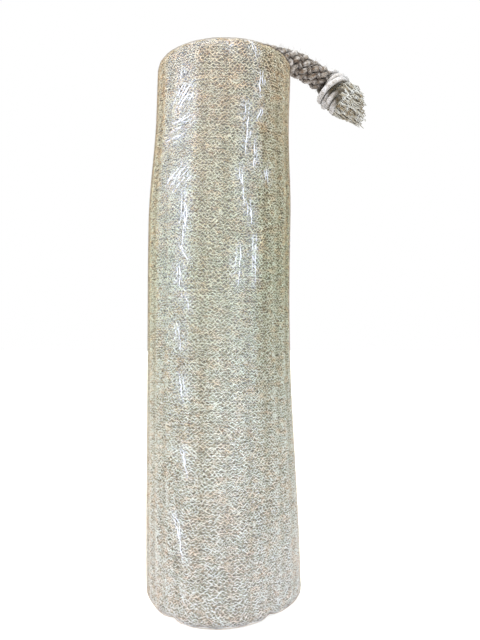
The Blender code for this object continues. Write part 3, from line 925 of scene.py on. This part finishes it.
def build_sponge(materials, route):
    """Both layers of the net, what ties and stiffens them, the cut ends' mats and the channels' fibres."""
    threads = {}
    for name, layer, seed, bands in (("fibre_net", OUTER_LAYER, 0.0, OUTER_BANDS),
                                     ("under_net", INNER_LAYER, 3.3, INNER_BANDS)):
        for index, (low, high) in enumerate(zip(bands, bands[1:]), 1):
            lines = net_lines(layer, low * MM, high * MM, seed)
            threads[f"{name}_{index}"] = round_threads(lines, layer.fibre, sides=3, closed=True)
    threads["net_links"] = round_threads(link_lines(), OUTER_LAYER.fibre, sides=3)
    threads["upright_fibres"] = round_threads(upright_lines(), UPRIGHT_RADIUS, sides=3)
    for name, top, reach, seed in (("top_mat", True, TOP_MAT_REACH, 71),
                                   ("foot_mat", False, FOOT_MAT_REACH, 72)):
        threads[name] = round_threads(mat_lines(top, reach, route, seed), OUTER_LAYER.fibre, sides=3)
    threads["channel_fibres"] = round_threads(channel_lines(), CHANNEL_FIBRE, sides=3, closed=True)
    for name, mesh in threads.items():
        inner = name in ("under_net_1", "upright_fibres", "channel_fibres")
        add_piece(name, mesh, materials["inner" if inner else "fibre"], "loofah")


def build_film(material):
    """Shrink film, drawn tight on the side, gathered over both rims and open round both cut ends."""
    over = TOP_CORNER * (math.pi / 2 - 1) + FILM_RING

    def point(column, row):
        angle = math.tau * column / FILM_COLUMNS
        spot = Vector((math.cos(angle) * 3, math.sin(angle) * 3, 0))
        travel = -over + (HEIGHT + 2 * over) * row / FILM_ROWS
        near_end = max(abs(travel - HEIGHT / 2) - HEIGHT / 2 + GATHER_REACH, 0.0) / GATHER_REACH
        edge = FILM_EDGE_WAVE * noise.noise(spot * 0.7 + Vector((0, 0, row // FILM_ROWS)))
        travel += edge * fade(near_end - 1) * (1 if row > FILM_ROWS / 2 else -1)
        gather = GATHER_DEPTH * noise.noise(spot * 4.5 + Vector((0, 0, travel * 12))) * fade(near_end)
        tight = RIB_SHARE * rib_sink(angle) * (1 - fade(near_end))
        ripple = RIPPLE_DEPTH * noise.noise(spot * 3 + Vector((0, 0, travel / MM / 3.2)))
        return skin_point(angle, travel, FILM_INSET + tight + abs(gather) + abs(ripple))

    film = add_piece("shrink_film", rolled_grid(FILM_COLUMNS, FILM_ROWS, point), material,
                     "film_sleeve")
    wall = film.modifiers.new("film wall", "SOLIDIFY")
    wall.thickness = FILM_WALL
    wall.offset = -1.0
    return film


def crease_line(start, stop, bow, seed):
    """Wrinkled line on the film, thickest in its middle, between two places given as angle and height."""
    line = []
    steps = max(round((Vector(stop) - Vector(start)).length), 4)
    for step in range(steps + 1):
        share = step / steps
        bend = bow * math.sin(math.pi * share)
        wrinkle = noise.noise_vector(Vector((seed * 3.7, share * steps * 0.45, 0)))
        degrees = start[0] + (stop[0] - start[0]) * share + bend + 1.1 * wrinkle.x
        height = start[1] + (stop[1] - start[1]) * share + bend * 0.6 + 0.7 * wrinkle.y
        gap = noise.noise(Vector((seed * 1.9, share * steps * 0.8, 7)))
        size = math.sin(math.pi * share) ** 0.6 * (0.8 + 0.5 * wrinkle.z) * fade(gap * 4 + 1.3)
        line.append((skin_point(FRONT + degrees * DEGREE, height * MM, CREASE_INSET), max(size, 0.05)))
    return line


def crease_lines():
    """Creases of the front, each with a finer one beside it, and bands of others round the back."""
    rng = random.Random(23)
    lines = []
    for index, (turn, low, next_turn, high, bow) in enumerate(FRONT_CREASES):
        lines.append(crease_line((turn, low), (next_turn, high), bow, index))
        shift = rng.choice((-1, 1)) * rng.uniform(1.6, 3.2)
        length = rng.uniform(0.4, 0.8)
        stop = (turn + (next_turn - turn) * length + shift, low + (high - low) * length - 1)
        beside = crease_line((turn + shift, low - 1), stop, bow, index + 30)
        lines.append([(point, size * 0.7) for point, size in beside])
    for index in range(BACK_CREASES):
        turn, low = rng.choice(BACK_BANDS) + rng.gauss(0, 4), rng.uniform(14, 268)
        length, lean = rng.uniform(8, 34), rng.gauss(0, 0.25)
        stop = (turn + 1.5 * length * math.sin(lean), min(low + length * math.cos(lean), CREASE_TOP))
        lines.append(crease_line((turn, low), stop, rng.uniform(-1, 1), 70 + index))
    return lines


def build_creases(film, material):
    """Whitened creases that stand proud of the film, which turns hazy round them. The white is partly real
    and partly painted glint and sheen.
    """
    lines = crease_lines()
    add_piece("film_creases", round_threads(lines, CREASE_RADIUS, sides=6), material,
              "film_sleeve")
    tree = nearest_tree([point for line in lines for point, size in line if size > 0.3])
    crumple_sheens = film.data.attributes.new(CRUMPLE_SHEEN, "FLOAT", "POINT")
    for vertex, crumple_sheen in zip(film.data.vertices, crumple_sheens.data):
        crumple_sheen.value = fade(1.2 - tree.find(vertex.co)[2] / CRUMPLE_SHEEN_REACH)


def build_table():
    """Wide flat table under the sponge."""
    top = bmesh.new()
    bmesh.ops.create_grid(top, x_segments=1, y_segments=1, size=TABLE_SIZE)
    mesh = bpy.data.meshes.new("table")
    top.to_mesh(mesh)
    top.free()
    mesh.materials.append(table_material())
    new_object("table", mesh)


def build_lights():
    """Plain soft studio light: broad soft boxes at both sides, one from above and a low fill."""
    for name, spot, target, width, height, power, code in LIGHTS:
        lamp = bpy.data.lights.new(name, "AREA")
        lamp.shape = "RECTANGLE"
        lamp.size = width
        lamp.size_y = height
        lamp.energy = power
        lamp.color = colour(code)[:3]
        item = new_object(name, lamp)
        item.location = spot
        item.rotation_euler = (Vector(target) - Vector(spot)).to_track_quat("-Z", "Y").to_euler()


def build_room():
    """Pale room, brightest at the front left. Gloss also mirrors its windows, and the camera sees white."""
    world = bpy.data.worlds.new("pale room")
    add = node_adder(world)
    way = add("TexCoord").outputs["Generated"]
    sides = add("SeparateXYZ", {0: way}).outputs
    lean = add("VectorMath", {0: way, 1: ROOM_WAY}, operation="DOT_PRODUCT").outputs["Value"]
    strength = add("Math", {0: lean, 1: ROOM_MIDDLE}, operation="ADD", use_clamp=True)
    power = add("Math", {0: strength, 1: ROOM_POWER, 2: ROOM_LEAST}, operation="MULTIPLY_ADD")
    share = add("Math", {0: sides["X"], 1: 0.5, 2: 0.5}, operation="MULTIPLY_ADD")
    room = add("Background", {"Color": add("ValToRGB", {"Fac": share}, ROOM_TONES), "Strength": power})
    # Bearing from the front as a share of the way round
    front = add("Math", {0: sides["Y"], 1: -1.0}, operation="MULTIPLY")
    bearing = add("Math", {0: sides["X"], 1: front}, operation="ARCTAN2")
    turn = add("Math", {0: bearing, 1: 0.5 / math.pi, 2: 0.5}, operation="MULTIPLY_ADD")
    # The windows are brighter high up than low down
    glare = add("MapRange", {"Value": sides["Z"], "From Min": -0.25, "From Max": 0.1,
                             "To Min": 1.2, "To Max": 2.1})
    windows = add("Background", {"Color": add("ValToRGB", {"Fac": turn}, WINDOWS), "Strength": glare})
    mirrored = add("AddShader", {0: room, 1: windows})
    rays = add("LightPath").outputs
    lit = add("MixShader", {0: rays["Is Glossy Ray"], 1: room, 2: mirrored})
    white = add("Background", {"Color": (1, 1, 1, 1), "Strength": 1.0})
    add("OutputWorld", {"Surface": add("MixShader", {0: rays["Is Camera Ray"], 1: lit, 2: white})})
    bpy.context.scene.world = world
    bpy.context.scene.view_settings.view_transform = "Standard"


finishes = {
    # Bleached fibre at the surface: pale cream, matt, with warmer and greyer patches
    "fibre": fibre_material("dried loofah fibre", ((0.3, "#D0C8B7"), (0.5, "#F3EFE4"), (0.7, "#FAF7EF")),
                            ((0.34, "#FFE6CC"), (0.5, "#FAF8F3"), (0.66, "#F1F4F2")), 0.8, 0.62),
    # Fibre under it: a duller tan, painted shade for the little light that reaches it
    "inner": fibre_material("inner loofah fibre", ((0.3, "#9E937E"), (0.5, "#B9B19D"), (0.7, "#CEC8B8")),
                            ((0.35, "#EBD6BE"), (0.65, "#E4E8D0")), 0.6, 0.7),
    # Matted fibre deep in the sponge: dark tan, painted shade of the depths, seen only through the net's
    # gaps
    "heart": fibre_material("deep loofah fibre", ((0.3, "#7B705A"), (0.5, "#918772"), (0.7, "#A69D88")),
                            ((0.35, "#D9C6A6"), (0.65, "#D6D8BE")), 0.6, 0.8),
    # Stretched film: all but clear, with a little sharp gloss
    "film": film_material("clear shrink film", 0.015, 0.12, 0.3 * MM),
    # Film folded on itself: half whitened, so that each crease is a bright streak, partly real whitening and
    # partly a painted glint
    "crease": film_material("whitened film crease", 0.46, 0.12, 0.1 * MM),
    # Hard braided yarn: grey beige tops over dark brown painted shade in the gaps
    "braid": cotton_material("braided cotton cord", ((0.34, "#654A36"), (0.42, "#82766B"), (0.56, "#9E9590"),
                                                     (0.7, "#BDB7B7")), "#32251D", 0.85, 2.2),
    # Smooth loose plies: paler and softer than the braid, with dark painted shade in the grooves
    "knot": cotton_material("smooth cotton plies", ((0.3, "#958B84"), (0.5, "#B9B3B2"), (0.7, "#CDC9CE")),
                            "#3A3020", 0.8, 1.8),
    # Cut and teased ends: dry, with yellow brown painted shade in the depths
    "fray": cotton_material("frayed cotton", ((0.34, "#7C6749"), (0.46, "#999388"), (0.7, "#BCBCBD")),
                            "#564830", 0.9, 2.4),
}

build_camera()
route = build_rope(finishes)
build_heart(finishes["heart"])
build_sponge(finishes, route)
film = build_film(finishes["film"])
build_creases(film, finishes["crease"])
build_table()
build_lights()
build_room()
